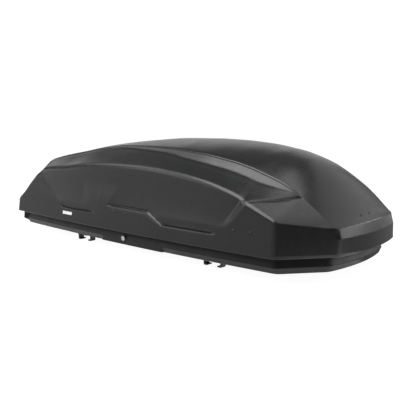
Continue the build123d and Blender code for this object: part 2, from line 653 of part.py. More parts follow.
with BuildPart() as latch_bar:
    with BuildSketch(bar_plane(bar_middle, BAR_Z)):
        Rectangle(BAR_LENGTH, BAR_THICK)
    extrude(amount=BAR_HEIGHT)
    for catch_x in CATCH_X:
        with BuildSketch(bar_plane(catch_x + TONGUE_SHIFT, TONGUE_Z)):
            with Locations((0, -(BAR_THICK + TONGUE_OUT) / 2)):
                Rectangle(TONGUE_LENGTH, TONGUE_OUT)
        extrude(amount=TAB_THICK)
    # A tab runs in from the bar, and a slotted lug hangs from it in front of the lock's cam.
    lug_x = LOCK_X - LATCH_TRAVEL / 2
    lug_back = LUG_FACE_Y + LUG_THICK
    lug_foot_z = LOCK_Z + TAB_THICK
    with BuildSketch(Plane.XY.offset(BAR_Z)):
        with Locations((lug_x, (bar_y(lug_x) + lug_back) / 2)):
            Rectangle(LUG_WIDTH, lug_back - bar_y(lug_x))
    extrude(amount=TAB_THICK)
    with BuildSketch(Plane.XZ.offset(-lug_back)):
        with Locations((lug_x, (BAR_Z + TAB_THICK + lug_foot_z) / 2)):
            Rectangle(LUG_WIDTH, BAR_Z + TAB_THICK - lug_foot_z)
        with Locations((lug_x, LOCK_Z + CAM_R * 0.87)):
            Rectangle(LUG_SLOT_X, LUG_SLOT_Z, mode=Mode.SUBTRACT)
    extrude(amount=LUG_THICK)
save(latch_bar, "latch_bar")

with BuildPart() as latch_guides:
    for guide_x in GUIDE_X:
        with BuildSketch(bar_plane(guide_x, FLANGE_Z + FLANGE_THICK)):
            Rectangle(GUIDE_LENGTH, GUIDE_WIDTH)
        extrude(amount=GUIDE_HEIGHT)
        with BuildSketch(bar_plane(guide_x, BAR_Z - GUIDE_PLAY)):
            Rectangle(GUIDE_LENGTH + 2, BAR_THICK + 2 * GUIDE_PLAY)
        extrude(amount=BAR_HEIGHT + 2 * GUIDE_PLAY, mode=Mode.SUBTRACT)
save(latch_guides, "latch_guides")

for number, (catch_x, section) in enumerate(zip(CATCH_X, catch_sections), start=1):
    lip_end = half_width(catch_x) + bar_y(catch_x) - BAR_THICK / 2 - CATCH_LIP_GAP
    with BuildPart() as lid_catch:
        with BuildSketch(section):
            with BuildLine():
                Polyline(
                    (LEAF_INSET, LEAF_TOP_Z),
                    (LEAF_INSET, CATCH_PLATE_Z),
                    (CATCH_NECK_INSET, CATCH_NECK_Z),
                    (CATCH_NECK_INSET, CATCH_LIP_Z),
                    (lip_end, CATCH_LIP_Z),
                    (lip_end, CATCH_LIP_Z + CATCH_THICK),
                    (CATCH_NECK_INSET + CATCH_THICK, CATCH_LIP_Z + CATCH_THICK),
                    (CATCH_NECK_INSET + CATCH_THICK, CATCH_NECK_Z + 1),
                    (LEAF_INSET + CATCH_THICK, CATCH_PLATE_Z + 1),
                    (LEAF_INSET + CATCH_THICK, LEAF_TOP_Z),
                    close=True,
                )
            make_face()
        extrude(amount=CATCH_HALF, both=True)
        with BuildSketch(section):
            with Locations((LEAF_INSET + CATCH_THICK / 2, LEAF_TOP_Z - LEAF_FLAT_HEIGHT / 2)):
                Rectangle(CATCH_THICK, LEAF_FLAT_HEIGHT)
        extrude(amount=RIVET_SPACING / 2 + LEAF_END, both=True)
        for plane in rivet_planes(section):
            with BuildSketch(plane):
                Circle(RIVET_R)
            extrude(amount=LEAF_INSET + 2 * CATCH_THICK, mode=Mode.SUBTRACT)
    save(lid_catch, f"lid_catch_{number}")

# Rivets: a shank through the lid and the leaf or catch, and a head outside.
SHANK_FROM = 8.0
SHANK_LENGTH = 13.5
with BuildPart() as side_rivets:
    for plane in side_rivet_planes:
        with BuildSketch(plane.offset(SHANK_FROM)):
            Circle(RIVET_R)
        extrude(amount=SHANK_LENGTH)
        with BuildSketch(plane.offset(SHANK_FROM + 0.6 - RIVET_HEAD_THICK)):
            Circle(RIVET_HEAD_R)
        extrude(amount=RIVET_HEAD_THICK)
save(side_rivets, "side_rivets")

# ---------------------------------------------------------------- key lock
LOCK_BODY_LENGTH = 26.0
LOCK_FACE_R = 17.0
LOCK_FACE_LIFT = 0.6
LOCK_FACE_THICK = 1.6
CYLINDER_BACK = 26.5
CYLINDER_OUT = 2.5
KEYWAY_LENGTH = 11.0
KEYWAY_WIDTH = 2.2
KEYWAY_FLOOR = 8.0
CAM_BACK = 30.0
CAM_THICK = 3.5
CAM_HUB_R = 8.0
CAM_ARM_WIDTH = 9.0
CAM_EYE_R = 4.5
CAM_PIN_R = 2.5
CAM_PIN_OUT = 2.0

with BuildPart() as lock_housing:
    with BuildSketch(Plane.XZ.offset(-lock_y - LOCK_BODY_LENGTH)):
        with Locations((LOCK_X, LOCK_Z)):
            Circle(LOCK_BODY_R)
    extrude(amount=LOCK_BODY_LENGTH + LOCK_FACE_LIFT)
    with BuildSketch(Plane.XZ.offset(-lock_y + LOCK_FACE_LIFT)):
        with Locations((LOCK_X, LOCK_Z)):
            Circle(LOCK_FACE_R)
    extrude(amount=LOCK_FACE_THICK)
    with BuildSketch(Plane.XZ.offset(-lock_y - LOCK_BODY_LENGTH)):
        with Locations((LOCK_X, LOCK_Z)):
            Circle(LOCK_R + FIT)
    extrude(amount=LOCK_BODY_LENGTH + LOCK_FACE_LIFT + LOCK_FACE_THICK, mode=Mode.SUBTRACT)
save(lock_housing, "lock_housing")

with BuildPart() as lock_cylinder:
    with BuildSketch(Plane.XZ.offset(-lock_y - CYLINDER_BACK)):
        with Locations((LOCK_X, LOCK_Z)):
            Circle(LOCK_R)
    extrude(amount=CYLINDER_BACK + CYLINDER_OUT)
    with BuildSketch(Plane.XZ.offset(-lock_y - KEYWAY_FLOOR)):
        with Locations((LOCK_X, LOCK_Z)):
            SlotOverall(KEYWAY_LENGTH, KEYWAY_WIDTH, rotation=CAM_REST_DEG)
    extrude(amount=KEYWAY_FLOOR + CYLINDER_OUT, mode=Mode.SUBTRACT)
save(lock_cylinder, "lock_cylinder")

pin_x = LOCK_X - CAM_R * math.sin(math.radians(CAM_REST_DEG))
pin_z = LOCK_Z + CAM_R * math.cos(math.radians(CAM_REST_DEG))
cam_front = -lock_y - CAM_BACK
cam_pin_end = -LUG_FACE_Y - LUG_THICK - CAM_PIN_OUT
with BuildPart() as lock_cam:
    with BuildSketch(Plane.XZ.offset(cam_front)):
        with Locations((LOCK_X, LOCK_Z)):
            Circle(CAM_HUB_R)
        with Locations(((LOCK_X + pin_x) / 2, (LOCK_Z + pin_z) / 2)):
            Rectangle(CAM_R, CAM_ARM_WIDTH, rotation=180 - CAM_REST_DEG)
        with Locations((pin_x, pin_z)):
            Circle(CAM_EYE_R)
    extrude(amount=CAM_THICK)
    with BuildSketch(Plane.XZ.offset(cam_pin_end)):
        with Locations((pin_x, pin_z)):
            Circle(CAM_PIN_R)
    extrude(amount=cam_front - cam_pin_end)
save(lock_cam, "lock_cam")

# ---------------------------------------------------------------- blank name plate
PLATE_X = -420.0
PLATE_LENGTH = 81.0
PLATE_HEIGHT = 21.0
PLATE_THICK = 1.4
PLATE_INSET = 3.2
PLATE_Z = 138.0
RIM_LEAN_DEG = 6.65  # lean of the wall from the rim's foot to its top
with BuildPart() as name_plate:
    with BuildSketch(wall_plane(PLATE_X, -1)):
        with Locations((PLATE_INSET, PLATE_Z)):
            Rectangle(PLATE_THICK, PLATE_HEIGHT, rotation=-RIM_LEAN_DEG)
    extrude(amount=PLATE_LENGTH / 2, both=True)
save(name_plate, "name_plate")

# ---------------------------------------------------------------- nose bracket and its rivets
# A plate bent under the hood, which guides the lid's nose down inside the tub's flange.
BRACKET_X = 884.0
BRACKET_TOP_Z = 227.0
BRACKET_FOOT_Z = 113.0
BRACKET_REACH = 28.0
BRACKET_THICK = 3.0
BRACKET_HALF = 48.0
BEND = 4.0  # height of the bent plate's upper face over its lower one
with BuildPart() as nose_bracket:
    with BuildSketch(Plane.XZ.offset(-BRACKET_HALF)):
        with BuildLine():
            Polyline(
                (BRACKET_X + BRACKET_REACH, BRACKET_TOP_Z - BRACKET_REACH),
                (BRACKET_X, BRACKET_TOP_Z),
                (BRACKET_X - BRACKET_THICK, BRACKET_TOP_Z),
                (BRACKET_X - BRACKET_THICK, BRACKET_FOOT_Z),
                (BRACKET_X, BRACKET_FOOT_Z),
                (BRACKET_X, BRACKET_TOP_Z - BEND),
                (BRACKET_X + BRACKET_REACH - BEND / 2, BRACKET_TOP_Z - BRACKET_REACH - BEND / 2),
                close=True,
            )
        make_face()
    extrude(amount=2 * BRACKET_HALF)
    with BuildSketch(NOSE_RIVET_PLANE):
        with Locations((0, -NOSE_RIVET_Y), (0, NOSE_RIVET_Y)):
            Circle(RIVET_R)
    extrude(amount=WALL * 5, both=True, mode=Mode.SUBTRACT)
save(nose_bracket, "nose_bracket")

NOSE_SHANK_BELOW = 14.0
NOSE_SHANK_ABOVE = 1.5
NOSE_HEAD_LIFT = 1.2
with BuildPart() as nose_rivets:
    with BuildSketch(NOSE_RIVET_PLANE.offset(-NOSE_SHANK_BELOW)):
        with Locations((0, -NOSE_RIVET_Y), (0, NOSE_RIVET_Y)):
            Circle(RIVET_R)
    extrude(amount=NOSE_SHANK_BELOW + NOSE_SHANK_ABOVE)
    with BuildSketch(NOSE_RIVET_PLANE.offset(NOSE_HEAD_LIFT)):
        with Locations((0, -NOSE_RIVET_Y), (0, NOSE_RIVET_Y)):
            Circle(RIVET_HEAD_R)
    extrude(amount=RIVET_HEAD_THICK)
save(nose_rivets, "nose_rivets")
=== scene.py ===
import bpy
import bmesh
import math
import numpy as np
from mathutils import Matrix, Vector


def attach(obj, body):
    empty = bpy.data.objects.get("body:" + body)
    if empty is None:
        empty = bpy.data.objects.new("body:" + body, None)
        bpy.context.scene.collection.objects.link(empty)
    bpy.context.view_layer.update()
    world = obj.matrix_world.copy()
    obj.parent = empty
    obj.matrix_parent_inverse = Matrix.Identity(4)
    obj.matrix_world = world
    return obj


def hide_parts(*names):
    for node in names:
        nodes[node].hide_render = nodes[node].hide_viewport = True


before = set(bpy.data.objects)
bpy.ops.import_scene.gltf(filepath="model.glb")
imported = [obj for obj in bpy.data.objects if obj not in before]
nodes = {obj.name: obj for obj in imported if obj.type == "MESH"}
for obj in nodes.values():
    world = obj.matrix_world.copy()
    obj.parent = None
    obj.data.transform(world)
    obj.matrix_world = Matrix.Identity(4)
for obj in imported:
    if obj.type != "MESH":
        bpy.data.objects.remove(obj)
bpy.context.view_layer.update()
scene = bpy.context.scene

# ---------------------------------------------------------------- the object's sizes, in metres
RIM_Z = 0.100
RIM_WALL = 0.0045
SHELL = 0.004
DRAFT = 0.12  # how much the lid's walls lean in
MAX_HALF_WIDTH, WIDEST_X, SIDE_BOW = 0.420, 0.417, 0.0941
REAR_TIP_X, REAR_BOW, REAR_S = -0.9456, 0.0156, 0.300
REAR_STEPS = 300
A_X, B_X = -0.8856, 0.764
NOSE_X, NOSE_S, NOSE_BOW = 0.917, 0.237, 0.507
BEVEL_Z = 0.1635  # lower edge of the nose's bevel
BEVEL_LOW_INSET, BEVEL_HIGH_INSET = 0.001, 0.010  # how far the nose leans in below and above that edge
J1 = (0.773, 0.260, 0.303)  # where the roof edge, the valley and the front facet meet
J2 = (0.615, 0.397, 0.287)  # front end of the side panel's top edge
ROOF_S = 0.260


def half_width(x):
    """Half width of the rim along the long sides."""
    return MAX_HALF_WIDTH * (1 - SIDE_BOW * (x - WIDEST_X) ** 2)


def smooth_step(a, b, x):
    """0 at a, 1 at b, and level at both ends."""
    t = np.clip((np.asarray(x, float) - a) / (b - a), 0, 1)
    return t * t * (3 - 2 * t)


def curve(points):
    """A smooth curve through (x, value) points that makes no waves between them."""
    px, py = (np.array(column, float) for column in zip(*points))
    step = np.diff(px)
    slope = np.diff(py) / step
    tangent = np.zeros(len(px))
    tangent[0], tangent[-1] = slope[0], slope[-1]
    for i in range(1, len(px) - 1):
        if slope[i - 1] * slope[i] > 0:
            w1, w2 = 2 * step[i] + step[i - 1], step[i] + 2 * step[i - 1]
            tangent[i] = (w1 + w2) / (w1 / slope[i - 1] + w2 / slope[i])

    def at(x):
        x = np.clip(np.asarray(x, float), px[0], px[-1])
        i = np.clip(np.searchsorted(px, x) - 1, 0, len(px) - 2)
        t = (x - px[i]) / step[i]
        value = py[i] * (2 * t**3 - 3 * t**2 + 1) + py[i + 1] * (3 * t**2 - 2 * t**3)
        return value + step[i] * (tangent[i] * (t**3 - 2 * t**2 + t) + tangent[i + 1] * (t**3 - t**2))

    return at


# The lid's feature lines, over x.
edge_z = curve([
    (-0.95, 0.159), (-0.930, 0.161), (-0.8856, 0.170), (-0.770, 0.257), (-0.715, 0.302), (-0.670, 0.333),
    (-0.600, 0.342), (-0.507, 0.348), (-0.354, 0.367), (-0.195, 0.378), (0.008, 0.383), (0.101, 0.381),
    (0.189, 0.376), (0.274, 0.368), (0.354, 0.357), (0.431, 0.344), (0.505, 0.326), (0.576, 0.305),
    (J2[0], J2[2]),
])
roof_edge_z = curve([
    (-0.9456, 0.150), (-0.930, 0.167), (-0.8856, 0.212), (-0.770, 0.322), (-0.715, 0.361), (-0.670, 0.378),
    (-0.634, 0.385), (-0.474, 0.414), (-0.274, 0.448), (-0.118, 0.460), (0.069, 0.458), (0.157, 0.455),
    (0.241, 0.447), (0.321, 0.439), (0.399, 0.427), (0.474, 0.414), (0.545, 0.397), (0.601, 0.379),
    (0.682, 0.351), (0.726, 0.331), (J1[0], J1[2]), (0.830, 0.261), (0.907, 0.199), (0.946, 0.179),
])
crown = curve([
    (-0.9456, 0.012), (-0.8856, 0.016), (-0.770, 0.029), (-0.670, 0.026), (-0.420, 0.018), (-0.170, 0.018),
    (-0.030, 0.028), (0.130, 0.034), (0.230, 0.042), (0.330, 0.049), (0.440, 0.058), (0.530, 0.064),
    (0.600, 0.073), (0.680, 0.075), (0.735, 0.068), (0.773, 0.058), (0.830, 0.038), (0.907, 0.0205),
    (0.946, 0.0205),
])
band_width = curve([
    (-0.95, 0.0), (-0.72, 0.001), (-0.55, 0.008), (-0.10, 0.011), (0.10, 0.019), (0.33, 0.032), (0.58, 0.033),
    (0.68, 0.021), (0.773, 0.0), (0.95, 0.0),
])
GROOVE_1 = ((-0.475, 0.169), (-0.385, 0.165), (-0.205, 0.168))
GROOVE_2 = ((-0.134, 0.208), (0.026, 0.207), (0.130, 0.205), (0.218, 0.163), (0.374, 0.162), (0.500, 0.161))
FRONT_BEVEL = ((0.500, 0.161), (0.545, 0.172), (0.588, 0.225), (0.630, 0.284))
STRIP_IN = ((-0.800, 0.424), (-0.676, 0.297), (-0.478, 0.176))
STRIP_OUT = ((-0.800, 0.360), (-0.707, 0.264), (-0.507, 0.168))
row_line_x, row_line_z = zip(
    (-0.95, 0.140), (-0.8856, 0.148), (-0.80, 0.162), *GROOVE_1, *GROOVE_2, (0.764, BEVEL_Z), (0.95, BEVEL_Z)
)


def polyline_distance(line, x, z):
    """Distance to a polyline, and how far along it the nearest point lies in x."""
    best = np.full(np.shape(x), 9.0)
    at = np.zeros(np.shape(x))
    for (ax, az), (bx, bz) in zip(line, line[1:]):
        dx, dz = bx - ax, bz - az
        t = np.clip(((x - ax) * dx + (z - az) * dz) / (dx * dx + dz * dz), 0, 1)
        gap = np.hypot(x - ax - t * dx, z - az - t * dz)
        at = np.where(gap < best, ax + t * dx, at)
        best = np.minimum(best, gap)
    return best, at


GROOVE_HALF, GROOVE_UP, GROOVE_DOWN, GROOVE_DEPTH = 0.0026, 0.0042, 0.0082, 0.0080
PANEL_STEP, PANEL_LEAN, PANEL_HEIGHT, PANEL_FOOT_Z = 0.0010, 0.015, 0.09, 0.186


def groove_depth(x, z, ridge=False):
    """The narrow lines pressed into the side walls, or the wider ridge they make inside."""
    near_1, at_1 = polyline_distance(GROOVE_1, x, z)
    near_2, at_2 = polyline_distance(GROOVE_2, x, z)
    above = z > np.interp(x, row_line_x, row_line_z)

    def section(near):
        if ridge:
            return smooth_step(0.018, 0.007, near)
        upper = smooth_step(GROOVE_UP, GROOVE_HALF, near)
        return np.where(above, upper, np.clip((GROOVE_DOWN - near) / (GROOVE_DOWN - GROOVE_HALF), 0, 1))

    cut_1 = section(near_1) * smooth_step(-0.205, -0.27, at_1)
    cut_2 = section(near_2) * smooth_step(-0.134, -0.10, at_2) * smooth_step(0.500, 0.47, at_2)
    return GROOVE_DEPTH * np.maximum(cut_1, cut_2)


def side_of(line, x, z):
    """Signed distance to a polyline, positive to its right when it runs down to the right."""
    gap, _ = polyline_distance(line, x, z)
    line_x, line_z = zip(*line)
    above = z > np.interp(x, line_x, line_z)
    return np.where(above, gap, -gap)


def panel_depth(x, z):
    """How deep the large side panel lies, which leans in more than the wall around it."""
    floor_z = np.interp(x, row_line_x, row_line_z)
    lean = PANEL_STEP + PANEL_LEAN * (1 - np.exp(-np.maximum(z - PANEL_FOOT_Z, 0) / PANEL_HEIGHT))
    outer, inner = side_of(STRIP_OUT, x, z), side_of(STRIP_IN, x, z)
    rear_ramp = np.clip(outer / np.maximum(outer - inner, 1e-6), 0, 1)
    front_gap, _ = polyline_distance(FRONT_BEVEL, x, z)
    bevel_x = np.interp(z, [p[1] for p in FRONT_BEVEL], [p[0] for p in FRONT_BEVEL])
    front_ramp = np.where(x < bevel_x, smooth_step(0, 0.034, front_gap), 0)
    gap = smooth_step(-0.33, -0.19, x) * smooth_step(-0.06, -0.15, x)
    bottom = smooth_step(0, 0.003, z - floor_z) * (1 - gap)
    bottom = np.maximum(bottom, smooth_step(0.0, 0.13, z - np.minimum(floor_z, 0.175)))
    return lean * rear_ramp * front_ramp * bottom


# ---------------------------------------------------------------- columns round the rim
def sharp_outline():
    """Half of the rim line, rear to nose, as (x, s), s being the distance from the middle plane."""
    rear = [(REAR_TIP_X + REAR_BOW * (s / REAR_S) ** 2, s) for s in np.linspace(0, REAR_S, REAR_STEPS + 1)]
    side = [(x, float(half_width(x))) for x in np.linspace(A_X, B_X, 1651)]
    nose = [(NOSE_X + NOSE_BOW * (NOSE_S**2 - s * s), s) for s in np.linspace(NOSE_S, 0, 238)]
    corners = rear + side + nose
    line = []
    for (ax, a_s), (bx, b_s) in zip(corners, corners[1:]):
        n = max(1, round(math.hypot(bx - ax, b_s - a_s) / 0.001))
        line += [(ax + (bx - ax) * k / n, a_s + (b_s - a_s) * k / n) for k in range(n)]
    return np.array(line + [corners[-1]])


def soften(values, width_mm, flip=False):
    """Blur of a list sampled every millimetre, mirrored at its ends."""
    reach = int(3 * width_mm)
    kernel = np.exp(-0.5 * (np.arange(-reach, reach + 1) / width_mm) ** 2)
    sign = -1 if flip else 1
    ends = (sign * values[reach:0:-1], sign * values[-2:-reach - 2:-1])
    return np.convolve(np.concatenate((ends[0], values, ends[1])), kernel / kernel.sum(), mode="valid")


sharp = sharp_outline()
CORNER_BLUR = 12.0
line_x = soften(sharp[:, 0], CORNER_BLUR)
line_s = soften(sharp[:, 1], CORNER_BLUR, flip=True)
line_s[0] = line_s[-1] = 0
arc = np.concatenate(([0], np.cumsum(np.hypot(np.diff(line_x), np.diff(line_s)))))
ARC_A = arc[np.argmax(sharp[:, 0] >= A_X)]
ARC_B = arc[np.argmax(sharp[:, 0] >= B_X)]
ARC_C = arc[np.argmax(sharp[:, 0] >= NOSE_X)]
ARC_D = arc[REAR_STEPS]
ARC_END = arc[-1]


def column_step(u):
    """Spacing of the columns: fine where the shape changes along the rim, coarse where it doesn't."""
    x = np.interp(u, arc, line_x)
    if u < ARC_D - 0.03:
        return 0.016
    if u < ARC_A + 0.02 or abs(u - ARC_B) < 0.03 or abs(u - ARC_C) < 0.03:
        return 0.004
    if u > ARC_C + 0.03:
        return 0.010
    if -0.72 < x < -0.46 or 0.12 < x < 0.24 or 0.49 < x < 0.64:
        return 0.0045
    return 0.0075


stops = [0.0]
while stops[-1] < ARC_END:
    stops.append(stops[-1] + column_step(stops[-1]))
u = np.array(stops) * (ARC_END / stops[-1])
foot_x, foot_s = np.interp(u, arc, line_x), np.interp(u, arc, line_s)
way_x, way_s = np.gradient(line_x, arc), np.gradient(line_s, arc)
in_x, in_s = np.interp(u, arc, way_s), -np.interp(u, arc, way_x)
in_length = np.hypot(in_x, in_s)
in_x, in_s = in_x / in_length, in_s / in_length
in_s[0] = in_s[-1] = 0
ridge_x = curve([
    (0, -0.925), (ARC_D, -0.905), (ARC_A, A_X), (ARC_A + 0.1, A_X + 0.1),
    (ARC_B - 0.1, B_X - 0.1), (ARC_B, B_X), (ARC_C, 0.893), (ARC_END, 0.930),
])(u)
nose_part = smooth_step(ARC_C - 0.012, ARC_C + 0.014, u)
facet_part = smooth_step(ARC_B - 0.02, ARC_B + 0.01, u)
rear_part = smooth_step(ARC_A + 0.01, ARC_A - 0.03, u)


# ---------------------------------------------------------------- the lid's surface
def front_edge_z(x):
    """Top edge of the wall in front of J2: down to B, along the facet to C and round the nose."""
    return np.interp(x, [J2[0], B_X, 0.907, 0.9346], [J2[2], 0.226, 0.199, 0.205])


def valley_line(x):
    """Where the crease from J2 to J1 lies, as (s, z)."""
    t = np.clip((x - J2[0]) / (J1[0] - J2[0]), 0, 1)
    return J2[1] + t * (J1[1] - J2[1]), J2[2] + t * (J1[2] - J2[2])


def roof_edge_s(x):
    """How far the roof's edge lies from the middle plane."""
    at_x = [REAR_TIP_X, A_X, -0.770, J1[0], 0.907, 0.946]
    return np.interp(x, at_x, [0.25, 0.25, 0.258, ROOF_S, NOSE_S, NOSE_S])


ease_x = np.linspace(0.30, 1.00, 701)
ease_s = np.where(ease_x < J2[0], J2[1] - 0.012 * smooth_step(0.62, 0.56, ease_x), valley_line(ease_x)[0])
ease_z = np.where(ease_x < J2[0], edge_z(ease_x), valley_line(ease_x)[1])
ease_s, ease_z = soften(ease_s, 26.0), soften(ease_z, 26.0)

LINE_DEPTH, LINE_WIDTH = 0.0034, 0.008  # the line pressed in beside the roof edge
CREASE_DEPTH, CREASE_HALF = 0.0028, 0.005
BAND_SLOPE = 1.05


def top_height(x, s, edge_s, edge_h):
    """Height of the lid's top at (x, s), inside its edge at edge_s."""
    side_s, side_z, width = roof_edge_s(x), roof_edge_z(x), band_width(x)
    roof = side_z + crown(x) * (1 - (s / side_s) ** 2)
    line_fade = smooth_step(-0.70, -0.5, x) * smooth_step(0.775, 0.74, x)
    line_t = np.clip((side_s - s) / LINE_WIDTH, 0, 1)
    roof = roof - LINE_DEPTH * line_fade * (1 - np.abs(2 * line_t - 1))
    band_foot = side_z - BAND_SLOPE * width
    band_t = np.clip((s - side_s) / np.maximum(width, 1e-4), 0, 1)
    band = side_z - BAND_SLOPE * width * (1 - (1 - band_t) ** 1.45)
    crease_s, crease_z = valley_line(x)
    crease_s = np.where(x < J2[0], edge_s, crease_s)
    crease_z = np.where(x < J2[0], edge_h, crease_z)
    t = np.clip((crease_s - s) / np.maximum(crease_s - side_s - width, 1e-4), 0, 1)
    soft_s, soft_z = np.interp(x, ease_x, ease_s), np.interp(x, ease_x, ease_z)
    soft_t = np.clip((soft_s - s) / np.maximum(soft_s - side_s - width, 1e-4), 0, 1)
    easing = smooth_step(0, 0.5, t) * smooth_step(J2[0] - 0.12, J2[0] - 0.05, x)
    easing = easing * smooth_step(J1[0], J1[0] - 0.05, x)
    t = t + (soft_t - t) * easing
    foot_z = crease_z + (soft_z - crease_z) * easing
    valley = foot_z + (band_foot - foot_z) * t * (0.75 + 0.25 * t)
    inner_s = np.where(x > J1[0], side_s, crease_s)
    facet_t = np.clip((edge_s - s) / np.maximum(edge_s - inner_s, 1e-4), 0, 1)
    facet = edge_h + (np.where(x > J1[0], side_z, crease_z) - edge_h) * facet_t
    outside = np.where(s > crease_s, facet, np.where(s < side_s + width, band, valley))
    outside = np.where(x > J1[0], facet, outside)
    crease_gap, _ = polyline_distance((J2[:2], J1[:2]), x, s)
    height = np.where(s < side_s, roof, outside)
    crease_fade = smooth_step(J2[0] - 0.01, J2[0] + 0.02, x)
    return height - CREASE_DEPTH * np.clip(1 - crease_gap / CREASE_HALF, 0, 1) * crease_fade


EDGE_RADIUS = curve([
    (0, 0.014), (ARC_A - 0.02, 0.014), (ARC_A + 0.1, 0.015), (ARC_B - 0.20, 0.016), (ARC_B - 0.05, 0.011),
    (ARC_B, 0.007), (ARC_B + 0.05, 0.004), (ARC_C, 0.003), (ARC_END, 0.003),
])
LOW_ROWS, LINE_ROWS, WALL_ROWS, ROUND_ROWS = 5, 15, 20, 7
FACET_ROWS, CREASE_ROWS, VALLEY_ROWS, BAND_ROWS, ROOF_LINE_ROWS, ROOF_ROWS = 4, 6, 8, 7, 6, 12
LINE_HALF = 0.0090  # the fine rows reach this far above and below the grooves
FOOT_ROUND = 0.0012


def blend_rows(a, b, n, ease=1.0):
    """n rows from a towards b, without b itself."""
    return [a + (b - a) * (k / n) ** ease for k in range(n)]


def lid_rows(grooves):
    """The lid's outer skin over one half, as rows of (x, s, z) from the rim foot to the ridge line."""
    plain_edge = np.where(foot_x < J2[0], edge_z(foot_x), front_edge_z(foot_x))
    fan_z = np.interp(u, [0, ARC_D, ARC_A], [0.159, 0.163, 0.170])
    top_z = np.where(u < ARC_A, fan_z, plain_edge)
    top_z = np.where(u > ARC_C, np.interp(foot_s, [0, NOSE_S], [0.205, 0.199]), top_z)
    side_inset = DRAFT * (top_z - RIM_Z)
    inset = side_inset + (BEVEL_LOW_INSET + BEVEL_HIGH_INSET - side_inset) * nose_part + 0.004 * rear_part
    inset = inset - 0.002 * facet_part * (1 - nose_part) * smooth_step(ARC_B, ARC_C, u)
    lean_in = panel_depth(foot_x, top_z)
    edge_px, edge_ps = foot_x + in_x * (inset + lean_in), foot_s + in_s * (inset + lean_in)
    radius = EDGE_RADIUS(u)

    def wall(z):
        rise = np.clip((z - RIM_Z) / (top_z - RIM_Z), 0, 1)
        low_part = BEVEL_LOW_INSET * (z - RIM_Z) / (BEVEL_Z - RIM_Z)
        high_part = BEVEL_LOW_INSET + BEVEL_HIGH_INSET * (z - BEVEL_Z) / (top_z - BEVEL_Z)
        bevel = np.where(z < BEVEL_Z, low_part, high_part)
        step_in = inset * rise * (1 - nose_part) + bevel * nose_part + panel_depth(foot_x, z)
        step_in = step_in + groove_depth(foot_x, z, ridge=not grooves)
        return np.array([foot_x + in_x * step_in, foot_s + in_s * step_in, z])

    line_z = np.interp(foot_x, row_line_x, row_line_z)
    line_z = np.where(u < ARC_A, np.interp(u, [0, ARC_A], [0.138, 0.148]), line_z)
    levels = blend_rows(RIM_Z + 0.0015 + 0 * u, line_z - LINE_HALF, LOW_ROWS)
    levels += blend_rows(line_z - LINE_HALF, line_z + LINE_HALF, LINE_ROWS)
    levels += blend_rows(line_z + LINE_HALF, top_z - radius, WALL_ROWS)
    rows = [np.array([foot_x + in_x * FOOT_ROUND, foot_s + in_s * FOOT_ROUND, RIM_Z + 0 * u])]
    rows += [wall(z) for z in levels]

    length = np.hypot(edge_px - ridge_x, edge_ps)
    to_x, to_s = (ridge_x - edge_px) / length, -edge_ps / length
    crease_s, _ = valley_line(edge_px)
    crease_s = np.where(edge_px < J2[0], edge_ps, crease_s)
    side_s = roof_edge_s(edge_px)
    to_crease, to_roof = edge_ps - crease_s, edge_ps - side_s
    to_roof = np.where(u < ARC_A, 0.02 + 0 * u, to_roof)
    stops = [radius, to_crease - 0.006, to_crease + 0.006, to_roof - band_width(edge_px), to_roof - 0.0005,
             to_roof + LINE_WIDTH + 0.001]
    for k in range(1, len(stops)):
        stops[k] = np.maximum(stops[k], stops[k - 1] + 0.0015)
    shrink = np.minimum(1, 0.7 * length / stops[-1])
    stops = [stop * shrink for stop in stops]

    def top(distance):
        x, s = edge_px + to_x * distance, np.maximum(edge_ps + to_s * distance, 0)
        base = top_height(x, s, edge_ps, top_z)
        miss = np.where(foot_x < J2[0] - 0.02, top_z - top_height(edge_px, edge_ps, edge_ps, top_z), 0)
        return np.array([x, s, base + miss * np.exp(-((distance / 0.045) ** 2))])

    below, corner, beyond = wall(top_z - radius), np.array([edge_px, edge_ps, top_z]), top(stops[0])
    for k in range(ROUND_ROWS):
        t = k / ROUND_ROWS
        rows.append(below * (1 - t) ** 2 + corner * 2 * t * (1 - t) + beyond * t * t)
    for a, b, n in zip(stops, stops[1:], (FACET_ROWS, CREASE_ROWS, VALLEY_ROWS, BAND_ROWS, ROOF_LINE_ROWS)):
        rows += [top(distance) for distance in blend_rows(a, b, n)]
    rows += [top(distance) for distance in blend_rows(stops[-1], length, ROOF_ROWS)]
    rows.append(top(length))
    rows[-1][1] = 0
    return np.array(rows)


def shell_mesh(name, halves):
    """A closed shell from rows of (x, s, z): (side, outer skin, inner skin) for each half."""
    mesh = bmesh.new()
    for side, outer, inner in halves:
        rings = [[mesh.verts.new((x, side * s, z)) for x, s, z in row.T] for row in outer]
        back = [[mesh.verts.new((x, side * s, z)) for x, s, z in row.T] for row in inner]
        for grid, turn in ((rings, side < 0), (back, side > 0), ([back[0], rings[0]], side < 0)):
            for low, high in zip(grid, grid[1:]):
                for a, b, c, d in zip(low, low[1:], high[1:], high):
                    mesh.faces.new((a, b, c, d) if turn else (d, c, b, a))
    bmesh.ops.remove_doubles(mesh, verts=mesh.verts, dist=1e-5)
    bmesh.ops.dissolve_degenerate(mesh, edges=mesh.edges, dist=1e-6)
    bmesh.ops.recalc_face_normals(mesh, faces=mesh.faces)
    data = bpy.data.meshes.new(name)
    mesh.to_mesh(data)
    mesh.free()
    data.shade_smooth()
    piece = bpy.data.objects.new(name, data)
    scene.collection.objects.link(piece)
    return piece


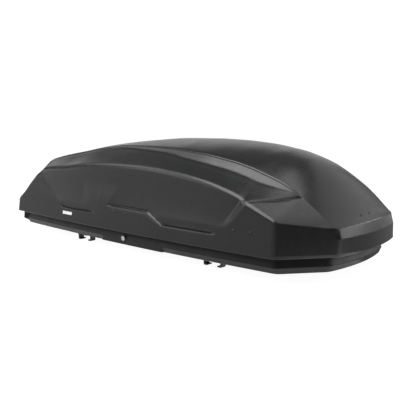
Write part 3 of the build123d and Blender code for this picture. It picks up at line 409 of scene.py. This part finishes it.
def offset_inwards(rows, distance, keep):
    """Every keep-th row moved inwards along the surface normal."""
    x, s, z = rows[:, 0], rows[:, 1], rows[:, 2]
    grid = np.stack((x, s, z), axis=-1)
    along_rows, along_columns = np.gradient(grid, axis=0), np.gradient(grid, axis=1)
    normal = np.cross(along_columns, along_rows)
    normal /= np.maximum(np.linalg.norm(normal, axis=-1, keepdims=True), 1e-9)
    moved = grid + distance * normal
    moved[:, 0, 1] = moved[:, -1, 1] = 0
    moved[-1, :, 1] = 0
    moved[..., 1] = np.maximum(moved[..., 1], 0)
    picks = list(range(3, len(rows) - 1, keep)) + [len(rows) - 1]
    return moved[picks].transpose(0, 2, 1)


outer_rows = lid_rows(grooves=True)
plain_rows = lid_rows(grooves=False)
inner_rows = offset_inwards(plain_rows, SHELL, keep=3)
lip = np.array([foot_x + in_x * RIM_WALL, foot_s + in_s * RIM_WALL, RIM_Z + 0 * u])
inner_rows = np.concatenate((lip[None], inner_rows))
lid = shell_mesh("lid_skin", [(-1, outer_rows, inner_rows), (1, outer_rows, inner_rows)])
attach(lid, "lid")
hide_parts("lid_shell")


# ---------------------------------------------------------------- the tub
def inward_field():
    """How the outline's points move as it is offset inwards by 1, with mitred corners, then blurred."""
    corners = [np.argmax(sharp[:, 0] >= x) for x in (A_X, B_X, NOSE_X)]
    bends = [0, REAR_STEPS, *corners, len(sharp) - 1]
    tangents = []
    for a, b in zip(bends, bends[1:]):
        step = np.gradient(sharp[a:b + 1], axis=0)
        tangents.append(step / np.linalg.norm(step, axis=1, keepdims=True))
    slip = [0.0]
    for before, after in zip(tangents, tangents[1:]):
        (ax, a_s), (bx, b_s) = before[-1], after[0]
        slip.append((bx * a_s - b_s * ax) / (1 + ax * bx + a_s * b_s))
    slip.append(0.0)
    field = np.zeros_like(sharp)
    for k, (a, b) in enumerate(zip(bends, bends[1:])):
        along = np.linspace(slip[k], -slip[k + 1], b - a + 1)[:, None]
        normal = np.stack((tangents[k][:, 1], -tangents[k][:, 0]), axis=1)
        field[a:b + 1] = normal + tangents[k] * along
    return soften(field[:, 0], CORNER_BLUR), soften(field[:, 1], CORNER_BLUR, flip=True)


field_x, field_s = inward_field()
move_x, move_s = np.interp(u, arc, field_x), np.interp(u, arc, field_s)
move_s[0] = move_s[-1] = 0
TUB_WALL = 0.004
CLAMP_XS, CLAMP_S = (0.405, -0.390), 0.300
FOOT_Z, CREASE_Z, FLANGE_Z, FLANGE_TOP_Z = 0.033, 0.057, 0.104, 0.107
FOOT_INSET, CREASE_INSET, TOP_INSET, LIP_INSET = 0.053, 0.043, 0.058, 0.018
BULGE_X = (-0.215, 0.190)  # the lock's bulge, from end to end
REAR_FILL, REAR_FOOT_INSET = 0.75, 0.040  # how the tub's rear end fills out, and slopes in at its foot
TUB_PROFILE = (
    (LIP_INSET, 0.1055), (LIP_INSET + 0.0003, 0.1044), (0.0195, FLANGE_Z), (0.038, FLANGE_Z),
    (0.0555, FLANGE_Z), (0.0574, 0.1034), (TOP_INSET, 0.1015), (0.0577, 0.099), (0.0562, 0.094),
    (0.0535, 0.0870), (0.0500, 0.0775), (0.0470, 0.0690), (0.0450, 0.0635), (0.0437, 0.0602),
    (0.0431, 0.0585), (0.0428, 0.0570), (0.0431, 0.0556), (0.0436, 0.0545), (0.0452, 0.0520),
    (0.0475, 0.0470), (0.0500, 0.0410), (0.0513, 0.0376), (0.0522, 0.0353), (0.0536, 0.0339),
    (0.0560, 0.0331), (0.0590, 0.0330), (0.0700, 0.0330), (0.0850, 0.0330),
)
FLOOR_SHARES = (0.04, 0.10, 0.18, 0.30, 0.44, 0.58, 0.72, 0.86, 1.0)


def bottom_lift(x, s):
    """Shallow stiffening ribs pressed up into the tub's underside."""
    across = smooth_step(0.06, 0.09, s) * smooth_step(0.255, 0.225, s)
    along = smooth_step(-0.80, -0.76, x) * smooth_step(0.80, 0.76, x)
    clear = 1.0
    for clamp_x in CLAMP_XS:
        clear = clear * smooth_step(0.085, 0.11, np.abs(x - clamp_x))
    waves = smooth_step(0.15, 0.55, np.sin(x * 2 * math.pi / 0.11))
    return 0.0014 * across * along * clear * waves


def tub_rows(profile, side, floor_z, ribs):
    """One skin of the tub over one half, as rows of (x, s, z) from the flange's edge to the middle line."""
    rows = []
    rear_end = smooth_step(ARC_A + 0.004, ARC_A - 0.012, u)
    bulge = smooth_step(BULGE_X[0] - 0.006, BULGE_X[0] + 0.006, foot_x)
    bulge = bulge * smooth_step(BULGE_X[1] + 0.006, BULGE_X[1] - 0.006, foot_x) * (side < 0)
    for inset, z in profile:
        drop = np.clip((CREASE_Z - z) / (CREASE_Z - FOOT_Z), 0, 1)
        depth = inset - drop * (FOOT_INSET - CREASE_INSET) * bulge
        depth = depth - rear_end * (REAR_FILL * max(inset - LIP_INSET, 0) - REAR_FOOT_INSET * drop)
        rows.append(np.array([foot_x + move_x * depth, foot_s + move_s * depth, z + 0 * u]))
    last = rows[-1]
    for share in FLOOR_SHARES:
        x = last[0] + (ridge_x * 0.96 - last[0]) * share
        s = last[1] * (1 - share)
        rows.append(np.array([x, s, floor_z + (bottom_lift(x, s) if ribs else 0 * u)]))
    return np.array(rows)


INNER_PROFILE = (
    (LIP_INSET, 0.1063), (LIP_INSET + 0.0006, FLANGE_TOP_Z), (0.030, FLANGE_TOP_Z),
    (0.0600, FLANGE_TOP_Z), (0.0615, 0.1062), (0.0620, 0.1035), (0.0600, 0.094), (0.0540, 0.0775),
    (0.0490, 0.0635), (0.0470, 0.0575), (0.0490, 0.0520), (0.0530, 0.0440), (0.0550, 0.0395),
    (0.0575, 0.0374), (0.0620, 0.0370), (0.0850, 0.0370),
)


def box_cutter(mesh, centre, size):
    """Add a box to a cutter mesh."""
    bmesh.ops.create_cube(mesh, size=1, matrix=Matrix.Translation(centre) @ Matrix.Diagonal((*size, 1)))


def cut(piece, cutter_mesh):
    """Subtract a cutter from a piece, for good."""
    data = bpy.data.meshes.new("cutter")
    cutter_mesh.to_mesh(data)
    cutter_mesh.free()
    cutter = bpy.data.objects.new("cutter", data)
    scene.collection.objects.link(cutter)
    boolean = piece.modifiers.new("cut", "BOOLEAN")
    boolean.operation = "DIFFERENCE"
    boolean.solver = "EXACT"
    boolean.object = cutter
    bpy.context.view_layer.update()
    result = bpy.data.meshes.new_from_object(piece.evaluated_get(bpy.context.evaluated_depsgraph_get()))
    piece.modifiers.clear()
    piece.data = result
    bpy.data.objects.remove(cutter)
    bpy.data.meshes.remove(data)


tub = shell_mesh("tub_skin", [
    (side, tub_rows(TUB_PROFILE, side, FOOT_Z, True), tub_rows(INNER_PROFILE, side, FOOT_Z + TUB_WALL, False))
    for side in (-1, 1)
])
SLOT_SHIFT_X, SLOT_Z, SLOT_SIZE = 0.049, 0.035, (0.0194, 0.0294, 0.02)  # where the jaws pass the floor
holes = bmesh.new()
for clamp_x in CLAMP_XS:
    for way in (-1, 1):
        for side in (-1, 1):
            box_cutter(holes, (clamp_x + way * SLOT_SHIFT_X, side * CLAMP_S, SLOT_Z), SLOT_SIZE)
LOCK_X, LOCK_Z = -0.056, 0.061
LOCK_Y = -(float(half_width(LOCK_X)) - CREASE_INSET)
LOCK_HOLE_RADIUS = 0.0146
bmesh.ops.create_cone(
    holes, cap_ends=True, segments=48, radius1=LOCK_HOLE_RADIUS, radius2=LOCK_HOLE_RADIUS, depth=0.04,
    matrix=Matrix.Translation((LOCK_X, LOCK_Y, LOCK_Z)) @ Matrix.Rotation(math.pi / 2, 4, "X"),
)
cut(tub, holes)
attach(tub, "base")
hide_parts("base_shell")


# ---------------------------------------------------------------- rivets and name plate
def lathe(mesh, profile, place, segments=28):
    """Turn (radius, height) points round local Z, closed at both ends on the axis."""
    rings = []
    for radius, height in profile:
        if radius == 0:
            rings.append([mesh.verts.new(place @ Vector((0, 0, height)))])
            continue
        ring = []
        for k in range(segments):
            angle = 2 * math.pi * k / segments
            point = Vector((radius * math.cos(angle), radius * math.sin(angle), height))
            ring.append(mesh.verts.new(place @ point))
        rings.append(ring)
    for low, high in zip(rings, rings[1:]):
        for k in range(segments):
            m = (k + 1) % segments
            corners = [low[k % len(low)], low[m % len(low)], high[m % len(high)], high[k % len(high)]]
            mesh.faces.new(list(dict.fromkeys(corners)))


RIVET_PROFILE = (
    (0, 0.0026), (0.0016, 0.0025), (0.0032, 0.0021), (0.0046, 0.0014), (0.0056, 0.0006), (0.0060, -0.0002),
    (0.0060, -0.0008), (0.0032, -0.0008), (0.0032, -0.0095), (0.0044, -0.0097), (0.0046, -0.0108),
    (0.0036, -0.0120), (0, -0.0124),
)


def surface_place(start, way):
    """Where a ray meets the lid's outside, as a matrix with Z along the surface normal."""
    hit, spot, normal, _ = lid.ray_cast(Vector(start), Vector(way).normalized())
    assert hit
    return Matrix.Translation(spot) @ normal.to_track_quat("Z", "Y").to_matrix().to_4x4()


def rivets(name, places, replaced):
    """A row of rivets as one piece on the lid."""
    mesh = bmesh.new()
    for place in places:
        lathe(mesh, RIVET_PROFILE, place)
    bmesh.ops.recalc_face_normals(mesh, faces=mesh.faces)
    data = bpy.data.meshes.new(name)
    mesh.to_mesh(data)
    mesh.free()
    data.shade_smooth()
    piece = bpy.data.objects.new(name, data)
    scene.collection.objects.link(piece)
    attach(piece, "lid")
    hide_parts(replaced)
    return piece


RIVET_Z, RIVET_SHIFTS = 0.180, (-0.0375, 0.0375)
NEAR_RIVETS, FAR_RIVETS = (-0.688, -0.042, 0.619), (-0.400, 0.050, 0.500)
side_places = [((mid + shift, -0.6, RIVET_Z), (0, 1, 0)) for mid in NEAR_RIVETS for shift in RIVET_SHIFTS]
side_places += [((mid + shift, 0.6, RIVET_Z), (0, -1, 0)) for mid in FAR_RIVETS for shift in RIVET_SHIFTS]
side_heads = rivets("side_rivet_heads", [surface_place(*place) for place in side_places], "side_rivets")
nose_places = [((0.902 + 0.2, y, 0.226 + 0.2), (-1, 0, -1)) for y in (-0.034, 0.034)]
nose_heads = rivets("nose_rivet_heads", [surface_place(*place) for place in nose_places], "nose_rivets")

PLATE_X, PLATE_Z, PLATE_SIZE = -0.420, 0.138, (0.081, 0.021)


def plate_outline(grow):
    """A rounded rectangle on the plate's face, grown outwards."""
    corners = []
    half_w, half_h = PLATE_SIZE[0] / 2 + grow, PLATE_SIZE[1] / 2 + grow
    radius = max(0.0035 + grow, 0.0004)
    for sx, sy, start in ((1, 1, 0), (-1, 1, 90), (-1, -1, 180), (1, -1, 270)):
        for k in range(7):
            angle = math.radians(start + 15 * k)
            across, up = radius * math.cos(angle), radius * math.sin(angle)
            corners.append((sx * (half_w - radius) + across, sy * (half_h - radius) + up))
    return corners


def name_plate():
    """A blank badge: a dark frame with a raised plain field."""
    place = surface_place((PLATE_X, -0.6, PLATE_Z), (0, 1, 0))
    normal = (place.to_3x3() @ Vector((0, 0, 1))).normalized()
    along = Vector((1, 0, 0)) - normal * normal.x
    along.normalize()
    upwards = normal.cross(along)
    mesh = bmesh.new()
    steps = (
        (0.0, -0.001), (0.0, 0.0009), (-0.0006, 0.0014), (-0.0016, 0.0014), (-0.0020, 0.0010),
        (-0.0034, 0.0010), (-0.0038, 0.0015), (-0.0044, 0.0017), (-0.0066, 0.0018),
    )
    rings = []
    for grow, height in steps:
        ring = [place.translation + along * a + upwards * b + normal * height for a, b in plate_outline(grow)]
        rings.append([mesh.verts.new(point) for point in ring])
    for low, high in zip(rings, rings[1:]):
        for k in range(len(low)):
            m = (k + 1) % len(low)
            mesh.faces.new((low[k], low[m], high[m], high[k])).material_index = 1 if low in rings[5:] else 0
    mesh.faces.new(rings[-1]).material_index = 1
    mesh.faces.new(list(reversed(rings[0])))
    bmesh.ops.recalc_face_normals(mesh, faces=mesh.faces)
    data = bpy.data.meshes.new("badge")
    mesh.to_mesh(data)
    mesh.free()
    piece = bpy.data.objects.new("badge", data)
    scene.collection.objects.link(piece)
    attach(piece, "lid")
    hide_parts("name_plate")
    return piece


badge = name_plate()


# ---------------------------------------------------------------- materials
def new_material(name, metallic=0.0, specular=0.5, coat=0.0):
    """A material with its shader, its node tree and the object's own coordinates."""
    material = bpy.data.materials.new(name + "_look")
    material.use_nodes = True
    tree = material.node_tree
    shader = tree.nodes["Principled BSDF"]
    shader.inputs["Metallic"].default_value = metallic
    shader.inputs["Specular IOR Level"].default_value = specular
    shader.inputs["Coat Weight"].default_value = coat
    place = tree.nodes.new("ShaderNodeTexCoord").outputs["Object"]
    return material, tree, shader, place


def stretched(tree, place, scale):
    """The coordinates scaled per axis."""
    mapping = tree.nodes.new("ShaderNodeMapping")
    mapping.inputs["Scale"].default_value = scale
    tree.links.new(place, mapping.inputs["Vector"])
    return mapping.outputs["Vector"]


def noise(tree, place, scale, detail=3.0, rough=0.5):
    """Soft noise over the surface."""
    texture = tree.nodes.new("ShaderNodeTexNoise")
    texture.inputs["Scale"].default_value = scale
    texture.inputs["Detail"].default_value = detail
    texture.inputs["Roughness"].default_value = rough
    tree.links.new(place, texture.inputs["Vector"])
    return texture.outputs["Fac"]


def pebbles(tree, place, scale):
    """The rounded cells of a moulded grain."""
    texture = tree.nodes.new("ShaderNodeTexVoronoi")
    texture.feature = "SMOOTH_F1"
    texture.inputs["Scale"].default_value = scale
    tree.links.new(place, texture.inputs["Vector"])
    return texture.outputs["Distance"]


def spread(tree, value, low, high, from_low=0.3, from_high=0.7):
    """A value stretched from one range to another."""
    node = tree.nodes.new("ShaderNodeMapRange")
    node.inputs["From Min"].default_value = from_low
    node.inputs["From Max"].default_value = from_high
    node.inputs["To Min"].default_value = low
    node.inputs["To Max"].default_value = high
    tree.links.new(value, node.inputs["Value"])
    return node.outputs["Result"]


def mixed(tree, factor, colour_a, colour_b):
    """A colour between two, by a factor."""
    node = tree.nodes.new("ShaderNodeMix")
    node.data_type = "RGBA"
    node.inputs["A"].default_value = (*colour_a, 1)
    node.inputs["B"].default_value = (*colour_b, 1)
    tree.links.new(factor, node.inputs["Factor"])
    return node.outputs["Result"]


def bumped(tree, shader, height, distance, strength=1.0, after=None):
    """A bump on the shader, over an earlier one if there is one."""
    node = tree.nodes.new("ShaderNodeBump")
    node.inputs["Distance"].default_value = distance
    node.inputs["Strength"].default_value = strength
    tree.links.new(height, node.inputs["Height"])
    if after is not None:
        tree.links.new(after, node.inputs["Normal"])
    tree.links.new(node.outputs["Normal"], shader.inputs["Normal"])
    return node.outputs["Normal"]


def grained_plastic(name, dark, light, rough, grain, depth, specular=0.5):
    """Moulded plastic: a fine pebbled grain, slow waves in its gloss and faint dust."""
    material, tree, shader, place = new_material(name, specular=specular)
    slow = noise(tree, place, 3.5, 4.0, 0.6)
    tree.links.new(mixed(tree, spread(tree, slow, 0, 1), dark, light), shader.inputs["Base Color"])
    gloss = noise(tree, place, 26.0, 5.0, 0.65)
    tree.links.new(spread(tree, gloss, rough[0], rough[1]), shader.inputs["Roughness"])
    waves = bumped(tree, shader, noise(tree, place, 7.0, 1.0), 0.0012, 0.10)
    bumped(tree, shader, pebbles(tree, place, grain), depth, 0.06, after=waves)
    return material


def brushed_metal(name, dark, light, rough, stretch, depth=0.00003):
    """Metal with a fine grain along one direction, stains and small scratches."""
    material, tree, shader, place = new_material(name, metallic=1.0)
    stains = noise(tree, place, 18.0, 5.0, 0.7)
    tree.links.new(mixed(tree, spread(tree, stains, 0, 1), dark, light), shader.inputs["Base Color"])
    lines = noise(tree, stretched(tree, place, stretch), 60.0, 4.0, 0.6)
    tree.links.new(spread(tree, lines, rough[0], rough[1]), shader.inputs["Roughness"])
    bumped(tree, shader, lines, depth, 0.6)
    return material


def soft_rubber(name, dark, light):
    """Matt rubber with a dusty bloom and a fine skin."""
    material, tree, shader, place = new_material(name, specular=0.3)
    bloom = noise(tree, place, 22.0, 6.0, 0.7)
    tree.links.new(mixed(tree, spread(tree, bloom, 0, 1), dark, light), shader.inputs["Base Color"])
    tree.links.new(spread(tree, bloom, 0.62, 0.88), shader.inputs["Roughness"])
    bumped(tree, shader, pebbles(tree, place, 900.0), 0.00012, 0.5)
    return material


def paint(name, dark, light, rough, metallic=0.0):
    """Powder coat: an orange-peel skin over metal."""
    material, tree, shader, place = new_material(name, metallic=metallic)
    cloud = noise(tree, place, 30.0, 4.0, 0.6)
    tree.links.new(mixed(tree, spread(tree, cloud, 0, 1), dark, light), shader.inputs["Base Color"])
    tree.links.new(spread(tree, cloud, rough[0], rough[1]), shader.inputs["Roughness"])
    bumped(tree, shader, noise(tree, place, 700.0, 2.0), 0.00008, 0.5)
    return material


MATERIALS = {
    "lid_plastic": grained_plastic(
        "lid_plastic", (0.0066, 0.0072, 0.0069), (0.0096, 0.0103, 0.0099), (0.265, 0.325), 1500.0, 0.00005
    ),
    "tub_plastic": grained_plastic(
        "tub_plastic", (0.0050, 0.0052, 0.0051), (0.0085, 0.0088, 0.0086), (0.40, 0.52), 1100.0, 0.00009, 0.42
    ),
    "clamp_plastic": grained_plastic(
        "clamp_plastic", (0.010, 0.010, 0.010), (0.017, 0.017, 0.018), (0.42, 0.58), 900.0, 0.0001
    ),
    "knob_plastic": grained_plastic(
        "knob_plastic", (0.30, 0.018, 0.014), (0.38, 0.026, 0.02), (0.34, 0.46), 1000.0, 0.00007
    ),
    "jaw_steel": paint("jaw_steel", (0.007, 0.007, 0.007), (0.016, 0.016, 0.016), (0.42, 0.6)),
    "pad_rubber": soft_rubber("pad_rubber", (0.006, 0.006, 0.006), (0.014, 0.014, 0.013)),
    "seal_rubber": soft_rubber("seal_rubber", (0.007, 0.007, 0.007), (0.013, 0.013, 0.013)),
    "rail_steel": brushed_metal(
        "rail_steel", (0.40, 0.41, 0.42), (0.52, 0.53, 0.54), (0.30, 0.44), (0.05, 1.0, 1.0)
    ),
    "hinge_steel": brushed_metal(
        "hinge_steel", (0.42, 0.43, 0.44), (0.56, 0.56, 0.57), (0.28, 0.42), (0.1, 1.0, 1.0)
    ),
    "pin_steel": brushed_metal(
        "pin_steel", (0.55, 0.55, 0.56), (0.66, 0.66, 0.67), (0.16, 0.26), (0.1, 1.0, 1.0)
    ),
    "stay_paint": paint("stay_paint", (0.010, 0.010, 0.011), (0.018, 0.018, 0.019), (0.22, 0.32)),
    "rod_steel": brushed_metal(
        "rod_steel", (0.62, 0.62, 0.63), (0.72, 0.72, 0.73), (0.10, 0.18), (1.0, 0.1, 0.1)
    ),
    "latch_steel": brushed_metal(
        "latch_steel", (0.44, 0.44, 0.45), (0.57, 0.57, 0.58), (0.26, 0.40), (0.06, 1.0, 1.0)
    ),
    "rivet_paint": paint("rivet_paint", (0.006, 0.006, 0.006), (0.011, 0.011, 0.011), (0.26, 0.38)),
    "lock_plastic": grained_plastic(
        "lock_plastic", (0.008, 0.008, 0.008), (0.013, 0.013, 0.013), (0.26, 0.36), 1200.0, 0.00006
    ),
    "lock_metal": brushed_metal(
        "lock_metal", (0.80, 0.80, 0.80), (0.90, 0.90, 0.90), (0.30, 0.42), (1.0, 0.2, 1.0)
    ),
    "plate_metal": paint("plate_metal", (0.010, 0.0105, 0.010), (0.016, 0.0165, 0.016), (0.30, 0.42)),
}
badge_field = paint("badge_field", (0.70, 0.70, 0.70), (0.80, 0.80, 0.80), (0.34, 0.46))

for piece, slot_name in ((lid, "lid_plastic"), (tub, "tub_plastic"), (side_heads, "rivet_paint"),
                         (nose_heads, "rivet_paint"), (badge, "plate_metal")):
    piece.data.materials.append(MATERIALS[slot_name])
badge.data.materials.append(badge_field)
for node in nodes.values():
    for slot in node.material_slots:
        slot.material = MATERIALS[slot.material.name.split(".")[0].removesuffix("_look")]

# ---------------------------------------------------------------- floor, light and camera
bpy.ops.mesh.primitive_plane_add(size=40)
floor = bpy.context.object
floor.name = "studio_floor"
floor_material, _, floor_shader, _ = new_material("floor_white", specular=0.0)
floor_shader.inputs["Base Color"].default_value = (0.25, 0.25, 0.25, 1)
floor_shader.inputs["Roughness"].default_value = 0.8
floor_shader.inputs["Emission Color"].default_value = (1, 1, 1, 1)
floor_shader.inputs["Emission Strength"].default_value = 0.95
floor.data.materials.append(floor_material)


def softbox(name, place, target, size, radiance):
    """An area light of a given radiance which the camera doesn't see."""
    light = bpy.data.lights.new(name, "AREA")
    light.shape = "RECTANGLE"
    light.size, light.size_y = size
    light.energy = radiance * math.pi * size[0] * size[1]
    lamp = bpy.data.objects.new(name, light)
    lamp.location = place
    lamp.rotation_mode = "QUATERNION"
    lamp.rotation_quaternion = (Vector(target) - Vector(place)).to_track_quat("-Z", "Y")
    lamp.visible_camera = False
    scene.collection.objects.link(lamp)


softbox("key_light", (-0.25, -1.95, 3.0), (-0.25, -1.95, 0.0), (2.3, 2.9), 5.3)
softbox("key_left_light", (-3.2, -1.95, 3.0), (-3.2, -1.95, 0.0), (2.6, 2.9), 2.0)
softbox("side_light", (-3.2, -3.9, 0.8), (0, 0, 0.3), (5.0, 1.6), 0.36)
softbox("front_light", (1.5, 0.45, 3.0), (1.5, 0.45, 0.0), (2.6, 1.3), 2.2)
softbox("hood_light", (2.2, 3.1, 2.4), (0.8, 0, 0.2), (4.5, 2.6), 0.60)
softbox("nose_light", (3.2, 3.0, 1.0), (0.9, 0, 0.2), (3.8, 0.8), 3.7)
softbox("back_light", (-4.0, 5.0, 1.0), (-3.0, 0, 0.3), (6.2, 1.6), 0.60)
softbox("high_back_light", (-3.6, 5.0, 3.0), (-2.0, 0, 0.3), (7.0, 2.4), 0.60)
softbox("left_back_light", (-5.6, 2.4, 2.5), (-0.6, -0.2, 0.4), (2.6, 1.8), 0.75)
softbox("strip_light", (-3.15, -3.6, 2.0), (-0.62, -0.38, 0.25), (1.5, 1.0), 3.2)
softbox("bevel_light", (-5.5, -1.9, 1.1), (0.6, -0.4, 0.25), (1.2, 0.8), 2.6)


def reflected_card(name, place, size, glow, turn=(0, 0, 0)):
    """A card which only reflections see, with an even glow."""
    bpy.ops.mesh.primitive_plane_add(size=1, location=place, rotation=turn)
    card = bpy.context.object
    card.name = name
    card.scale = (*size, 1)
    material, _, shader, _ = new_material(name, specular=0.0)
    shader.inputs["Base Color"].default_value = (0.002, 0.002, 0.002, 1)
    shader.inputs["Emission Color"].default_value = (1, 1, 1, 1)
    shader.inputs["Emission Strength"].default_value = glow
    card.data.materials.append(material)
    card.visible_camera = card.visible_shadow = card.visible_diffuse = False


reflected_card("card_front", (1.75, -0.95, 0.2), (1.8, 0.8), 0.0, (math.pi / 2, 0, math.radians(60)))
reflected_card("card_right_floor", (1.95, 1.75, 0.004), (3.0, 3.4), 0.30)
reflected_card("card_back_floor", (-7.0, 9.2, 0.004), (15.0, 16.4), 0.12)
reflected_card("card_left_floor", (-3.9, -4.7, 0.004), (10.2, 8.6), 0.55)

world = bpy.data.worlds.new("studio")
scene.world = world
world.use_nodes = True
sky, links = world.node_tree.nodes, world.node_tree.links
path = sky.new("ShaderNodeLightPath")
mix = sky.new("ShaderNodeMixShader")
seen = sky.new("ShaderNodeBackground")
sky["Background"].inputs["Color"].default_value = (0.19, 0.19, 0.19, 1)
seen.inputs["Color"].default_value = (1, 1, 1, 1)
links.new(path.outputs["Is Camera Ray"], mix.inputs["Fac"])
links.new(sky["Background"].outputs[0], mix.inputs[1])
links.new(seen.outputs[0], mix.inputs[2])
links.new(mix.outputs[0], sky["World Output"].inputs["Surface"])

camera = bpy.data.cameras.new("camera")
camera.lens, camera.sensor_width = 53.394, 36.0
eye = bpy.data.objects.new("camera", camera)
scene.collection.objects.link(eye)
eye.location = (1.9059, -2.1446, 0.6028)
eye.rotation_mode = "QUATERNION"
eye.rotation_quaternion = Vector((-0.6357, 0.7573, -0.1495)).to_track_quat("-Z", "Y")
camera.clip_start, camera.clip_end = 0.05, 200
scene.camera = eye
scene.view_settings.view_transform = "Standard"
